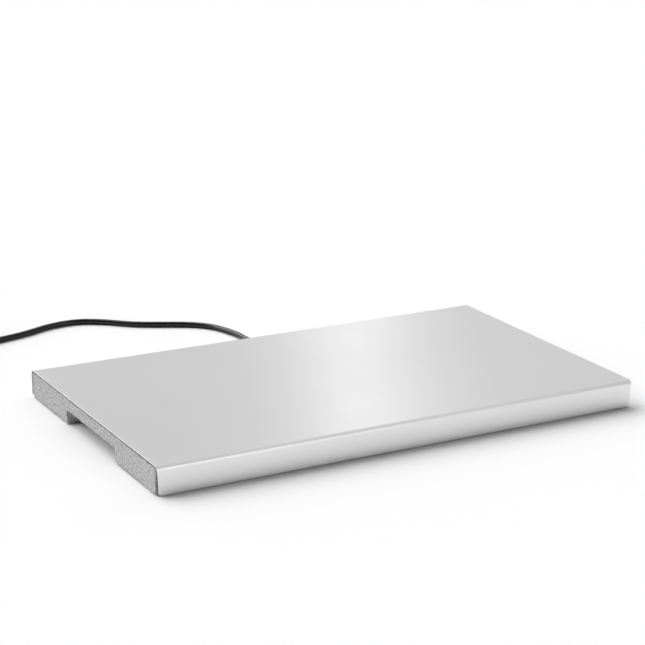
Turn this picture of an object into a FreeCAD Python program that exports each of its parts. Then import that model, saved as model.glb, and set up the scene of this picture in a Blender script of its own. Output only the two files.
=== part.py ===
import FreeCAD, Part
import Sketcher
import math
import os

# Heated plate that keeps massage stones warm: a folded stainless cover bonded onto a pressed
# mineral core, with a heating mat between them and the electrics in a tray under the middle.
# Millimetres.  +X is the plate's long way, the front lip faces -Y, +Z is up.
# The origin is on the surface the pads stand on, under the middle of the plate.

SIZES = [
    ("plate_width", 500.0, "along X, cut edge to cut edge"),
    ("plate_depth", 290.0, "along Y, outside of both lips"),
    ("plate_top", 27.2, "height of the warm surface"),
    ("sheet_thick", 1.0, "stainless sheet of the cover"),
    ("bend_radius", 4.0, "outside radius of the cover's two folds"),
    ("lip_gap", 0.8, "lip edges above the surface the plate stands on"),
    ("lip_corner", 3.5, "rounded lower corners of the lips"),
    ("bond_thick", 0.8, "silicone bond between cover and core"),
    ("lip_bond", 1.8, "the same bond behind the two lips"),
    ("bond_setback", 0.5, "bond under the flat ends this far inside the cut edge"),
    ("lip_setback", 2.0, "bond behind the lips ends this far inside the cut edge"),
    ("pad_thick", 1.4, "anti-slip pads"),
    ("pad_length", 240.0, "pads along X"),
    ("pad_width", 20.0, "pads along Y"),
    ("pad_setback", 1.4, "pad edge behind the lip's face"),
    ("channel_width", 113.0, "channel under the core, open at both ends"),
    ("channel_height", 13.0, "height of that channel"),
    ("channel_shift", -1.2, "channel centre along Y"),
    ("channel_round", 4.5, "rounded inner corner at the front of the channel"),
    ("grip_reach", 60.0, "finger room from the cut edge to the tray"),
    ("rear_round", 4.0, "rounded lower rear edge of the core"),
    ("heater_width", 440.0, "heating mat along X"),
    ("heater_depth", 230.0, "heating mat along Y"),
    ("mat_thick", 1.5, "heating mat"),
    ("spreader_thick", 0.6, "aluminium heat spreader"),
    ("tray_sheet", 0.8, "sheet of the service tray"),
    ("tray_gap", 0.3, "room between tray and core"),
    ("spacer_x", 170.0, "tray spacers from the middle along X"),
    ("spacer_y", 42.0, "tray spacers from the channel centre along Y"),
    ("exit_x", 12.0, "cord exit from the middle along X"),
    ("exit_height", 8.4, "cord axis above the surface at the exit"),
    ("cord_diameter", 6.0, "mains cord"),
    ("wire_diameter", 2.0, "insulated inner wires"),
    ("cord_hole", 12.0, "hole for the gland in the rear lip and core"),
    ("cord_bore", 9.0, "bore for the cord through the rear core"),
    ("gland_flange", 15.6, "strain relief flange on the rear lip"),
    ("boot_length", 26.0, "strain relief outside the rear lip"),
    ("screw_height", 15.0, "screws through the rear lip above the core's underside"),
    ("screw_shank", 2.8, "small self-tapping screws"),
    ("screw_head", 5.8, "countersunk heads of the rear screws"),
    ("pan_head", 5.5, "pan heads of the small screws inside"),
    ("tray_screw", 4.0, "screws that hold the tray"),
    ("clearance_hole", 4.2, "holes for 4 mm screws and the stud"),
    ("lead_hole", 6.0, "holes through the core for the heater leads"),
    ("wire_barrel", 3.2, "crimp barrel of the earth ring"),
    ("thermostat_x", -70.0, "thermostat along X"),
    ("fuse_x", -120.0, "thermal fuse along X"),
    ("stud_x", 70.0, "earth stud along X"),
    ("stud_y", -30.0, "earth stud along Y"),
    ("block_y", -6.0, "terminal block along Y"),
    ("plug_radius", 18.3, "plug face"),
    ("plug_length", 52.0, "plug body with its sleeve"),
    ("pin_diameter", 4.8, "plug pins"),
    ("pin_spacing", 19.0, "between the pins' axes"),
    ("pin_length", 19.0, "pins beyond the plug face"),
    ("coil_radius", 34.5, "middle of the cord coil's turns"),
    ("tie_thick", 0.8, "band round the coil"),
]

# Route of the mains cord's centre line from the rear lip to the coil, and from the coil's
# upper layer to the plug.
CORD_ROUTE = [
    (12.0, 145.0, 8.4),
    (12.0, 168.0, 8.4),
    (12.6, 189.0, 6.0),
    (14.0, 207.0, 3.2),
    (14.6, 226.0, 3.1),
    (9.5, 247.0, 3.1),
    (1.5, 268.0, 3.1),
    (-18.0, 285.0, 3.1),
    (-45.0, 298.0, 3.1),
    (-71.0, 311.5, 3.1),
    (-95.0, 335.0, 3.1),
    (-122.0, 349.5, 3.1),
    (-155.0, 346.0, 3.1),
    (-187.0, 331.0, 3.1),
    (-222.0, 322.5, 3.2),
    (-256.6, 313.0, 3.8),
]
COIL_CENTRE = (-267.9, 355.0)
TAIL_HEADING = 195.0
PLUG_TILT = 12.0
TAIL_ROUTE = [
    (-256.6, 313.0, 9.8),
    (-272.1, 308.9, 8.9),
    (-286.5, 305.0, 5.2),
    (-300.1, 301.3, 3.1),
    (-315.5, 297.2, 3.6),
    (-329.3, 293.5, 5.8),
    (-340.6, 290.5, 8.4),
]
REAR_SCREW_X = (-220, -75, 75, 220)
COIL_TURNS = 3
COIL_LAYERS = 2

doc = FreeCAD.newDocument("StoneHeater")
sheet = doc.addObject("Spreadsheet::Sheet", "Size")
for row, (alias, value, note) in enumerate(SIZES, start=1):
    sheet.set("A%d" % row, alias)
    sheet.set("B%d" % row, str(value))
    sheet.set("C%d" % row, note)
    sheet.setAlias("B%d" % row, alias)
doc.recompute()

# Heights and places that several pieces share, as expressions over the sheet.
CORE_TOP = "(Size.plate_top - Size.sheet_thick - Size.bond_thick)"
CORE_FRONT = "(-Size.plate_depth / 2 + Size.sheet_thick + Size.lip_bond)"
CORE_REAR = "(Size.plate_depth / 2 - Size.sheet_thick - Size.lip_bond)"
CHANNEL_TOP = "(Size.pad_thick + Size.channel_height)"
CHANNEL_FRONT = "(Size.channel_shift - Size.channel_width / 2)"
CHANNEL_REAR = "(Size.channel_shift + Size.channel_width / 2)"
MAT_BOTTOM = "(Size.plate_top - Size.sheet_thick - Size.spreader_thick - Size.mat_thick)"
TRAY_BOTTOM = "(Size.pad_thick + Size.tray_gap)"
TRAY_FLOOR = "(Size.pad_thick + Size.tray_gap + Size.tray_sheet)"
SCREW_AXIS = "(Size.pad_thick + Size.screw_height)"

parts = []


def number(alias):
    return float(sheet.get(alias))


def value_of(text):
    """The number that a sheet expression stands for, read through a scratch vertex."""
    probe = doc.addObject("Part::Vertex", "Probe")
    probe.setExpression("X", text)
    doc.recompute()
    result = float(probe.X)
    doc.removeObject(probe.Name)
    return result


def place(thing, where, axis=None, angle=0.0):
    if axis:
        turn = FreeCAD.Rotation(FreeCAD.Vector(*axis), angle)
        thing.Placement = FreeCAD.Placement(FreeCAD.Vector(), turn)
    for letter, text in zip("xyz", where):
        thing.setExpression(".Placement.Base." + letter, text)
    return thing


def block(name, sizes, low_corner):
    """A box from its X, Y and Z sizes and its lowest corner, all expressions."""
    thing = doc.addObject("Part::Box", name)
    for prop, text in zip(("Length", "Width", "Height"), sizes):
        thing.setExpression(prop, text)
    return place(thing, low_corner)


def rod(name, diameter, length, start, along="z"):
    """A cylinder from its diameter, its length and the middle of its first end."""
    thing = doc.addObject("Part::Cylinder", name)
    thing.setExpression("Radius", "(%s) / 2" % diameter)
    thing.setExpression("Height", length)
    turns = {"z": (None, 0.0), "x": ((0, 1, 0), 90.0), "y": ((1, 0, 0), -90.0)}
    return place(thing, start, *turns[along])


def join(name, things):
    fused = doc.addObject("Part::MultiFuse", name)
    fused.Shapes = things
    return fused


def group(name, things):
    """Separate solids of one node."""
    together = doc.addObject("Part::Compound", name)
    together.Links = things
    return together


def cut(name, base, tools):
    result = doc.addObject("Part::Cut", name)
    result.Base = base
    result.Tool = tools[0] if len(tools) == 1 else join(name + "_tools", tools)
    return result


def node(label, thing):
    thing.Label = label
    parts.append(thing)
    return thing


def extrusion(name, corners):
    """A body of straight edges across the YZ plane, as long as the plate is wide."""
    body = doc.addObject("PartDesign::Body", name)
    sketch = body.newObject("Sketcher::SketchObject", name + "_section")
    planes = {feature.Role: feature for feature in body.Origin.OriginFeatures}
    sketch.AttachmentSupport = [(planes["YZ_Plane"], "")]
    sketch.MapMode = "FlatFace"
    count = len(corners)
    spots = [FreeCAD.Vector(value_of(y), value_of(z), 0) for y, z in corners]
    for index in range(count):
        sketch.addGeometry(Part.LineSegment(spots[index], spots[(index + 1) % count]), False)
    for index in range(count):
        follower = (index + 1) % count
        sketch.addConstraint(Sketcher.Constraint("Coincident", index, 2, follower, 1))
    for index, texts in enumerate(corners):
        for kind, text, spot in zip(("DistanceX", "DistanceY"), texts, spots[index]):
            rule = Sketcher.Constraint(kind, -1, 1, index, 1, spot)
            rule_index = sketch.addConstraint(rule)
            sketch.setExpression("Constraints[%d]" % rule_index, text)
    pad = body.newObject("PartDesign::Pad", name + "_pad")
    pad.Profile = sketch
    pad.Midplane = True
    pad.setExpression("Length", "Size.plate_width")
    doc.recompute()
    return body


def edges_where(shape, test):
    """Names of the straight edges whose middle passes the test."""
    found = []
    for index, edge in enumerate(shape.Edges, start=1):
        ends = [vertex.Point for vertex in edge.Vertexes]
        if len(ends) == 2 and test(edge.CenterOfMass, ends[1] - ends[0]):
            found.append("Edge%d" % index)
    return found


def round_edges(body, name, test, radius_text):
    before = body.Tip
    fillet = body.newObject("PartDesign::Fillet", name)
    fillet.Base = (before, edges_where(before.Shape, test))
    fillet.setExpression("Radius", radius_text)
    doc.recompute()
    body.Tip = fillet
    return fillet


def near(first, second):
    return abs(first - second) < 0.01


def rounded_path(points):
    """Straight runs joined by arcs as large as the two runs at each point allow."""
    spots = [FreeCAD.Vector(*point) for point in points]
    edges = []
    radii = []
    start = spots[0]
    for before, corner, after in zip(spots, spots[1:], spots[2:]):
        back = before - corner
        ahead = after - corner
        half = (math.pi - back.getAngle(ahead)) / 2
        reach = 0.45 * min(back.Length, ahead.Length)
        radii.append(reach / math.tan(half))
        back.normalize()
        ahead.normalize()
        begin = corner + back * reach
        finish = corner + ahead * reach
        centre_way = (back + ahead).normalize()
        centre = corner + centre_way * (radii[-1] / math.cos(half))
        middle = centre - centre_way * radii[-1]
        edges.append(Part.LineSegment(start, begin).toShape())
        edges.append(Part.Arc(begin, middle, finish).toShape())
        start = finish
    edges.append(Part.LineSegment(start, spots[-1]).toShape())
    return Part.Wire(edges), radii


def tube(label, points, diameter):
    """A round cord or wire along a rounded path; its volume is checked against its length."""
    path, radii = rounded_path(points)
    first = FreeCAD.Vector(*points[0])
    heading = FreeCAD.Vector(*points[1]) - first
    ring = Part.Wire(Part.Circle(first, heading, diameter / 2).toShape())
    solid = path.makePipeShell([ring], True, False)
    expected = path.Length * math.pi * diameter ** 2 / 4
    print("%s: length %.1f, radii %s, volume ratio %.4f"
          % (label, path.Length, [round(radius) for radius in radii], solid.Volume / expected))
    thing = doc.addObject("Part::Feature", label)
    thing.Shape = solid
    return node(label, thing)


def make_cover():
    half_depth = "Size.plate_depth / 2"
    lip = "Size.lip_gap"
    inner = "(Size.plate_depth / 2 - Size.sheet_thick)"
    body = extrusion("CoverSheet", [
        ("-" + half_depth, lip), ("-" + half_depth, "Size.plate_top"),
        (half_depth, "Size.plate_top"), (half_depth, lip),
        (inner, lip), (inner, "Size.plate_top - Size.sheet_thick"),
        ("-" + inner, "Size.plate_top - Size.sheet_thick"), ("-" + inner, lip),
    ])
    top = number("plate_top")
    under = top - number("sheet_thick")
    edge_height = number("lip_gap")
    round_edges(body, "OuterBends",
                lambda middle, way: near(middle.z, top) and abs(way.x) > 1,
                "Size.bend_radius")
    round_edges(body, "InnerBends",
                lambda middle, way: near(middle.z, under) and abs(way.x) > 1,
                "Size.bend_radius - Size.sheet_thick")
    round_edges(body, "LipCorners",
                lambda middle, way: near(middle.z, edge_height) and abs(way.y) > 0.5,
                "Size.lip_corner")
    holes = [rod("CordHole", "Size.cord_hole", "10", ("Size.exit_x", "Size.plate_depth / 2 - 5",
                                          "Size.exit_height"), "y")]
    holes += rear_screw_cones("CoverScrewHole")
    node("top_cover", cut("Cover", body, holes))


def rear_screw_rods(name, diameter, length, start_y):
    """One rod at each of the four screws through the rear lip."""
    rods = []
    for index, spot in enumerate(REAR_SCREW_X):
        where = (str(spot), start_y, SCREW_AXIS)
        rods.append(rod("%s%d" % (name, index), diameter, length, where, "y"))
    return rods


def rear_screw_cones(name):
    """Countersunk heads, flush with the rear lip and as deep as the sheet and the bond."""
    cones = []
    for index, spot in enumerate(REAR_SCREW_X):
        cone = doc.addObject("Part::Cone", "%s%d" % (name, index))
        cone.setExpression("Radius1", "Size.screw_shank / 2")
        cone.setExpression("Radius2", "Size.screw_head / 2")
        cone.setExpression("Height", "Size.sheet_thick + Size.lip_bond")
        where = (str(spot), CORE_REAR, SCREW_AXIS)
        cones.append(place(cone, where, (1, 0, 0), -90.0))
    return cones


def make_bond():
    """Bond under the flat of the cover and behind its lips; it stops short of the folds."""
    length = "Size.plate_width - 2 * Size.bond_setback"
    start = "-Size.plate_width / 2 + Size.bond_setback"
    lip_length = "Size.plate_width - 2 * Size.lip_setback"
    lip_start = "-Size.plate_width / 2 + Size.lip_setback"
    skin = "Size.lip_bond"
    bottom = "(Size.pad_thick + Size.lip_setback)"
    height = "Size.plate_top - Size.bend_radius - " + bottom
    flat = "(Size.plate_depth / 2 - Size.bend_radius)"
    top = block("BondTop", (length, "2 * " + flat, "Size.bond_thick"),
                (start, "-" + flat, CORE_TOP))
    front = block("BondFront", (lip_length, skin, height),
                  (lip_start, CORE_FRONT + " - " + skin, bottom))
    rear = block("BondRear", (lip_length, skin, height), (lip_start, CORE_REAR, bottom))
    window = block("BondWindow", ("Size.heater_width", "Size.heater_depth", "2"),
                   ("-Size.heater_width / 2", "-Size.heater_depth / 2", CORE_TOP + " - 1"))
    cord = rod("BondCordHole", "Size.cord_hole", "10",
               ("Size.exit_x", "Size.plate_depth / 2 - 6", "Size.exit_height"), "y")
    screws = rear_screw_cones("BondScrewHole")
    node("bond_film", cut("Bond", join("BondSkin", [top, front, rear]), [window, cord] + screws))


def heater_pocket(name):
    return block(name, ("Size.heater_width", "Size.heater_depth", "10"),
                 ("-Size.heater_width / 2", "-Size.heater_depth / 2", MAT_BOTTOM))


def spacer_spots():
    for side_x in ("-", ""):
        for side_y in ("-", "+"):
            yield (side_x + "Size.spacer_x", "Size.channel_shift %s Size.spacer_y" % side_y)


def make_front_core():
    """Thick front rail and the thinner board over the channel, one pressed piece."""
    body = extrusion("FrontCoreBlank", [
        (CORE_FRONT, "Size.pad_thick"), (CORE_FRONT, CORE_TOP),
        (CHANNEL_REAR, CORE_TOP), (CHANNEL_REAR, CHANNEL_TOP),
        (CHANNEL_FRONT, CHANNEL_TOP), (CHANNEL_FRONT, "Size.pad_thick"),
    ])
    corner_y = value_of(CHANNEL_FRONT)
    corner_z = value_of(CHANNEL_TOP)
    round_edges(body, "ChannelRound",
                lambda middle, way: near(middle.y, corner_y) and near(middle.z, corner_z),
                "Size.channel_round")
    holes = [heater_pocket("FrontHeaterPocket")]
    for index, (spot_x, spot_y) in enumerate(spacer_spots()):
        holes.append(rod("TrayScrewBore%d" % index, "Size.tray_screw", "8", (spot_x, spot_y, CHANNEL_TOP)))
    holes.append(rod("ThermostatHole", "17", "14", ("Size.thermostat_x", "0", CHANNEL_TOP + " - 1")))
    for index, side in enumerate(("-", "+")):
        spot = ("Size.thermostat_x", side + "12.5", CHANNEL_TOP)
        holes.append(rod("FlangeScrewBore%d" % index, "Size.screw_shank", "7", spot))
    holes.append(block("FuseSlot", ("24", "8", "14"),
                       ("Size.fuse_x - 12", "-4", CHANNEL_TOP + " - 1")))
    holes.append(rod("LiveLeadHole", "Size.lead_hole", "14", ("Size.fuse_x - 30", "0", CHANNEL_TOP + " - 1")))
    holes.append(rod("NeutralLeadHole", "Size.lead_hole", "14",
                     ("Size.fuse_x - 36", "-14", CHANNEL_TOP + " - 1")))
    holes.append(rod("StudHole", "5", "14", ("Size.stud_x", "Size.stud_y", CHANNEL_TOP + " - 1")))
    node("front_core", cut("FrontCore", body, holes))


def make_rear_core():
    """Full-height rear rail; the cord passes through it."""
    body = extrusion("RearCoreBlank", [
        (CHANNEL_REAR, "Size.pad_thick"), (CHANNEL_REAR, CORE_TOP),
        (CORE_REAR, CORE_TOP), (CORE_REAR, "Size.pad_thick"),
    ])
    rear = value_of(CORE_REAR)
    bottom = number("pad_thick")
    round_edges(body, "RearRound",
                lambda middle, way: near(middle.y, rear) and near(middle.z, bottom),
                "Size.rear_round")
    holes = [heater_pocket("RearHeaterPocket")]
    holes.append(rod("CordBore", "Size.cord_bore", "100", ("Size.exit_x", CHANNEL_REAR + " - 1",
                                              "Size.exit_height"), "y"))
    holes.append(rod("GlandBore", "Size.cord_hole", "20", ("Size.exit_x", CORE_REAR + " - 12",
                                               "Size.exit_height"), "y"))
    holes += rear_screw_rods("RearScrewBore", "Size.screw_shank", "20", CORE_REAR + " - 11")
    node("rear_core", cut("RearCore", body, holes))


def make_heater():
    sizes = ("Size.heater_width", "Size.heater_depth")
    corner = ("-Size.heater_width / 2", "-Size.heater_depth / 2")
    spreader_bottom = MAT_BOTTOM + " + Size.mat_thick"
    mat = block("MatBlank", sizes + ("Size.mat_thick",), corner + (MAT_BOTTOM,))
    plate = block("SpreaderBlank", sizes + ("Size.spreader_thick",), corner + (spreader_bottom,))
    for label, blank in (("heating_mat", mat), ("heat_spreader", plate)):
        hole = rod(label + "_stud_hole", "9", "6",
                   ("Size.stud_x", "Size.stud_y", MAT_BOTTOM + " - 1"))
        node(label, cut(label + "_cut", blank, [hole]))


def make_earth_stud():
    spot = ("Size.stud_x", "Size.stud_y")
    sheet_under = "(Size.plate_top - Size.sheet_thick)"
    shank = rod("StudShank", "4", "17.5", spot + (sheet_under + " - 17.5",))
    foot = rod("StudFoot", "8", "1.2", spot + (sheet_under + " - 1.2",))
    node("earth_stud", join("Stud", [shank, foot]))
    washer_bottom = CHANNEL_TOP + " - 0.8"
    washer = rod("WasherDisc", "10", "0.8", spot + (washer_bottom,))
    washer_hole = rod("WasherHole", "Size.clearance_hole", "4", spot + (washer_bottom + " - 1",))
    node("earth_washer", cut("Washer", washer, [washer_hole]))
    ring_bottom = washer_bottom + " - 0.8"
    eye = rod("RingEye", "8.4", "0.8", spot + (ring_bottom,))
    tongue = block("RingTongue", ("7", "3", "0.8"),
                   ("Size.stud_x - 10", "Size.stud_y - 1.5", ring_bottom))
    barrel = rod("RingBarrel", "Size.wire_barrel", "6",
                 ("Size.stud_x - 15", "Size.stud_y", ring_bottom + " - 0.8"), "x")
    ring_hole = rod("RingHole", "Size.clearance_hole", "4", spot + (ring_bottom + " - 1",))
    node("earth_ring", cut("Ring", join("RingBlank", [eye, tongue, barrel]), [ring_hole]))
    nut = doc.addObject("Part::Prism", "NutHex")
    nut.Polygon = 6
    nut.Circumradius = 4.04
    nut.Height = 3.2
    place(nut, spot + (ring_bottom + " - 3.2",))
    nut_hole = rod("NutHole", "4.1", "6", spot + (ring_bottom + " - 4",))
    node("earth_nut", cut("Nut", nut, [nut_hole]))


def make_thermostat():
    """Snap-disc thermostat pressed against the mat by a screwed flange."""
    spot = ("Size.thermostat_x", "0")
    cap = rod("ThermostatCap", "16", "6", spot + (MAT_BOTTOM + " - 6",))
    base = rod("ThermostatBase", "15", "7", spot + (MAT_BOTTOM + " - 12.5",))
    tabs = block("ThermostatTabs", ("36", "6.3", "0.8"), ("Size.thermostat_x - 18", "-3.15",
                                                          CHANNEL_TOP + " - 2.4"))
    node("thermostat", join("Thermostat", [cap, base, tabs]))
    plate = block("FlangePlate", ("17.4", "32", "1"),
                  ("Size.thermostat_x - 8.7", "-16", CHANNEL_TOP + " - 1"))
    holes = [rod("FlangeBore", "15.4", "4", spot + (CHANNEL_TOP + " - 2",))]
    screws = []
    for index, side in enumerate(("-", "+")):
        where = ("Size.thermostat_x", side + "12.5")
        holes.append(rod("FlangeHole%d" % index, "3", "4", where + (CHANNEL_TOP + " - 2",)))
        shank = rod("FlangeShank%d" % index, "Size.screw_shank", "8", where + (CHANNEL_TOP + " - 1",))
        head = rod("FlangeHead%d" % index, "Size.pan_head", "1.6", where + (CHANNEL_TOP + " - 2.6",))
        screws.append(join("FlangeScrew%d" % index, [shank, head]))
    node("thermostat_flange", cut("Flange", plate, holes))
    node("thermostat_screws", group("FlangeScrews", screws))


def make_fuse():
    fuse = rod("FuseCan", "4", "11", ("Size.fuse_x - 5.5", "0", MAT_BOTTOM + " - 2.2"), "x")
    node("thermal_fuse", fuse)


def make_terminal_block():
    """Three-way block; a bore along Y and two screws for each way."""
    pitch = 10
    blank = block("TerminalBlank", ("32", "18", "10"),
                  ("Size.exit_x - 16", "Size.block_y - 9", TRAY_FLOOR))
    bores = []
    screws = []
    for way in (-1, 0, 1):
        spot_x = "Size.exit_x + %d" % (way * pitch)
        bores.append(rod("WireBore%d" % (way + 1), "3", "20",
                         (spot_x, "Size.block_y - 10", "Size.exit_height"), "y"))
        for end in (-1, 1):
            tag = "%d%d" % (way + 1, end + 1)
            spot = (spot_x, "Size.block_y + %d" % (end * 5))
            bores.append(rod("ScrewWell" + tag, "4", "6", spot + ("Size.exit_height + 1",)))
            screws.append(rod("TerminalScrew" + tag, "3.6", "2.2",
                              spot + ("Size.exit_height + 1.3",)))
    node("terminal_block", cut("Terminals", blank, bores))
    node("terminal_screws", group("TerminalScrews", screws))


def make_tray():
    length = "(Size.plate_width - 2 * Size.grip_reach)"
    width = "(Size.channel_width - 2 * Size.tray_gap)"
    height = CHANNEL_TOP + " - " + TRAY_BOTTOM
    low_y = CHANNEL_FRONT + " + Size.tray_gap"
    outer = block("TrayOuter", (length, width, height), ("-%s / 2" % length, low_y, TRAY_BOTTOM))
    inner = block("TrayInner",
                  (length + " - 2 * Size.tray_sheet", width + " - 2 * Size.tray_sheet", "20"),
                  ("-%s / 2 + Size.tray_sheet" % length, low_y + " + Size.tray_sheet", TRAY_FLOOR))
    doc.recompute()
    rim_round = doc.addObject("Part::Fillet", "TrayRound")
    rim_round.Base = outer
    corner_y = value_of(CHANNEL_FRONT + " + Size.tray_gap")
    top = value_of(CHANNEL_TOP)
    found = edges_where(outer.Shape, lambda middle, way: near(middle.y, corner_y)
                        and near(middle.z, top))
    rim_round.Edges = [(int(name[4:]), 5.0, 5.0) for name in found]
    holes = [inner, rod("TrayCordHole", "9.4", "6", ("Size.exit_x", CHANNEL_REAR + " - 3",
                                                     "Size.exit_height"), "y")]
    spacers = []
    screws = []
    for index, spot in enumerate(spacer_spots()):
        holes.append(rod("TrayHole%d" % index, "Size.clearance_hole", "4", spot + (TRAY_BOTTOM + " - 1",)))
        sleeve = rod("SpacerSleeve%d" % index, "8", CHANNEL_TOP + " - " + TRAY_FLOOR,
                     spot + (TRAY_FLOOR,))
        bore = rod("SpacerBore%d" % index, "Size.clearance_hole", "14", spot + (TRAY_FLOOR + " - 1",))
        spacers.append(cut("Spacer%d" % index, sleeve, [bore]))
        shank = rod("TrayShank%d" % index, "Size.tray_screw", "19", spot + (TRAY_BOTTOM,))
        head = rod("TrayHead%d" % index, "7.5", "1.1", spot + (TRAY_BOTTOM + " - 1.1",))
        slot = block("TrayDrive%d" % index, ("5", "0.9", "0.6"),
                     (spot[0] + " - 2.5", spot[1] + " - 0.45", TRAY_BOTTOM + " - 1.2"))
        screws.append(cut("TrayScrew%d" % index, join("TrayScrewBlank%d" % index, [shank, head]),
                          [slot]))
    node("service_tray", cut("Tray", rim_round, holes))
    node("tray_spacers", group("Spacers", spacers))
    node("tray_screws", group("TrayScrews", screws))


def make_cord_entry():
    """Grommet in the tray, clamp in the tray, and the strain relief on the rear lip."""
    axis = ("Size.exit_x", "Size.exit_height")
    wall = CHANNEL_REAR + " - Size.tray_gap - Size.tray_sheet"

    def along(name, diameter, length, start_y):
        return rod(name, diameter, length, (axis[0], start_y, axis[1]), "y")

    collar = along("GrommetCollar", "10.6", "1.5", wall + " - 1.5")
    sleeve = along("GrommetSleeve", "9.2", "2.4", wall + " - 1.5")
    bore = along("GrommetBore", "6.1", "12", wall + " - 4")
    node("tray_grommet", cut("Grommet", join("GrommetBlank", [collar, sleeve]), [bore]))
    saddle = block("ClampBlank", ("26", "9", "9.5"),
                   ("Size.exit_x - 13", "34.5", TRAY_FLOOR))
    node("cord_clamp", cut("Clamp", saddle, [along("ClampBore", "6", "20", "30")] + [
        rod("ClampHole%d" % index, "3", "20", ("Size.exit_x + %d" % side, "39", "0"))
        for index, side in enumerate((-9, 9))]))
    screws = []
    for index, side in enumerate((-9, 9)):
        spot = ("Size.exit_x + %d" % side, "39")
        shank = rod("ClampShank%d" % index, "Size.screw_shank", "9.5", spot + (TRAY_FLOOR,))
        head = rod("ClampHead%d" % index, "Size.pan_head", "1.6", spot + (TRAY_FLOOR + " + 9.5",))
        screws.append(join("ClampScrew%d" % index, [shank, head]))
    node("clamp_screws", group("ClampScrews", screws))
    face = "Size.plate_depth / 2"
    stem = along("GlandStem", "11.8", "12", face + " - 12")
    flange = along("GlandFlange", "Size.gland_flange", "1.8", face)
    boot = doc.addObject("Part::Cone", "GlandBoot")
    boot.Radius1 = 5.6
    boot.setExpression("Radius2", "Size.cord_diameter / 2 + 0.9")
    boot.setExpression("Height", "Size.boot_length - 1.8")
    place(boot, (axis[0], face + " + 1.8", axis[1]), (1, 0, 0), -90.0)
    hole = along("GlandHole", "Size.cord_diameter", "60", face + " - 20")
    node("strain_relief", cut("Gland", join("GlandBlank", [stem, flange, boot]), [hole]))
    inner_end = along("CordInside", "Size.cord_diameter", face + " - 24", "24")
    node("cord_inner_end", inner_end)


def make_pads():
    length = "Size.pad_length"
    front_y = "-Size.plate_depth / 2 + Size.pad_setback"
    rear_y = "Size.plate_depth / 2 - Size.pad_setback - Size.pad_width"
    for label, low_y in (("front_pad", front_y), ("rear_pad", rear_y)):
        node(label, block(label + "_strip", (length, "Size.pad_width", "Size.pad_thick"),
                          ("-%s / 2" % length, low_y, "0")))


def make_rear_screws():
    shanks = rear_screw_rods("RearShank", "Size.screw_shank", "10", CORE_REAR + " - 10")
    heads = rear_screw_cones("RearHead")
    recesses = rear_screw_rods("RearRecess", "1.8", "2", "Size.plate_depth / 2 - 0.9")
    screws = []
    for index, (shank, head, recess) in enumerate(zip(shanks, heads, recesses)):
        blank = join("RearScrewBlank%d" % index, [shank, head])
        screws.append(cut("RearScrew%d" % index, blank, [recess]))
    node("rear_screws", group("RearScrews", screws))


def make_wires():
    """Insulated wires between cord, terminals, thermostat, fuse, mat and earth stud."""
    size = number("wire_diameter")
    level = number("exit_height")
    middle = number("exit_x")
    block_rear = number("block_y") + 9
    block_front = number("block_y") - 9
    tab_height = value_of(CHANNEL_TOP) - 2.0
    stopper = number("thermostat_x")
    fuse = number("fuse_x")
    mat = value_of(MAT_BOTTOM)
    for label, way in (("live_wire", -1), ("neutral_wire", 0), ("earth_wire", 1)):
        tube(label, [
            (middle + way * 1.9, 24.0, level), (middle + way * 2.4, 18.0, level - 0.2),
            (middle + way * 9.6, 9.0, level + 0.2), (middle + way * 10, block_rear - 5, level),
        ], size)
    tube("thermostat_wire", [
        (middle - 10, block_front + 4, level), (middle - 10, -25.0, level),
        (-20.0, -25.0, level), (-34.0, 0.0, tab_height), (stopper + 18, 0.0, tab_height),
    ], size)
    tube("neutral_lead", [
        (middle, block_front + 4, level), (middle, -36.0, level), (fuse - 10, -36.0, level),
        (fuse - 36, -14.0, level), (fuse - 36, -14.0, mat),
    ], size)
    tube("fuse_wire", [
        (stopper - 18, 0.0, tab_height), (fuse + 9.5, 0.0, tab_height),
        (fuse + 9.5, 0.0, mat - 2.2), (fuse + 5.5, 0.0, mat - 2.2),
    ], 1.0)
    tube("live_lead", [
        (fuse - 5.5, 0.0, mat - 2.2), (fuse - 9.5, 0.0, mat - 2.2), (fuse - 9.5, 0.0, tab_height),
        (fuse - 30, 0.0, tab_height), (fuse - 30, 0.0, mat),
    ], 1.0)
    ring_axis = value_of(CHANNEL_TOP) - 2.4
    tube("earth_lead", [
        (middle + 10, block_front + 4, level), (middle + 10, -26.0, level),
        (middle + 24, number("stud_y"), ring_axis), (number("stud_x") - 15, number("stud_y"),
                                                     ring_axis),
    ], size)


def make_cord():
    tube("mains_cord", CORD_ROUTE, number("cord_diameter"))
    tube("cord_tail", TAIL_ROUTE, number("cord_diameter"))
    centre = (str(COIL_CENTRE[0]), str(COIL_CENTRE[1]))
    bottom = "Size.tie_thick"
    height = "%d * Size.cord_diameter" % COIL_LAYERS
    half_band = "%g * Size.cord_diameter" % ((COIL_TURNS + 1) / 2)
    outer = rod("CoilOuter", "2 * (Size.coil_radius + %s)" % half_band, height,
                centre + (bottom,))
    inner = rod("CoilInner", "2 * (Size.coil_radius - %s)" % half_band, "40",
                centre + ("-5",))
    node("cord_coil", cut("Coil", outer, [inner]))
    band = "2 * %s + 1.0" % half_band
    wide = block("TieOuter", (band + " + 2 * Size.tie_thick", "12",
                              height + " + 2 * Size.tie_thick"),
                 (centre[0] + " - Size.coil_radius - (%s) / 2 - Size.tie_thick" % band,
                  centre[1] + " - 6", "0"))
    hollow = block("TieInner", (band, "20", height),
                   (centre[0] + " - Size.coil_radius - (%s) / 2" % band,
                    centre[1] + " - 10", bottom))
    node("cord_tie", cut("Tie", wide, [hollow]))


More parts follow.
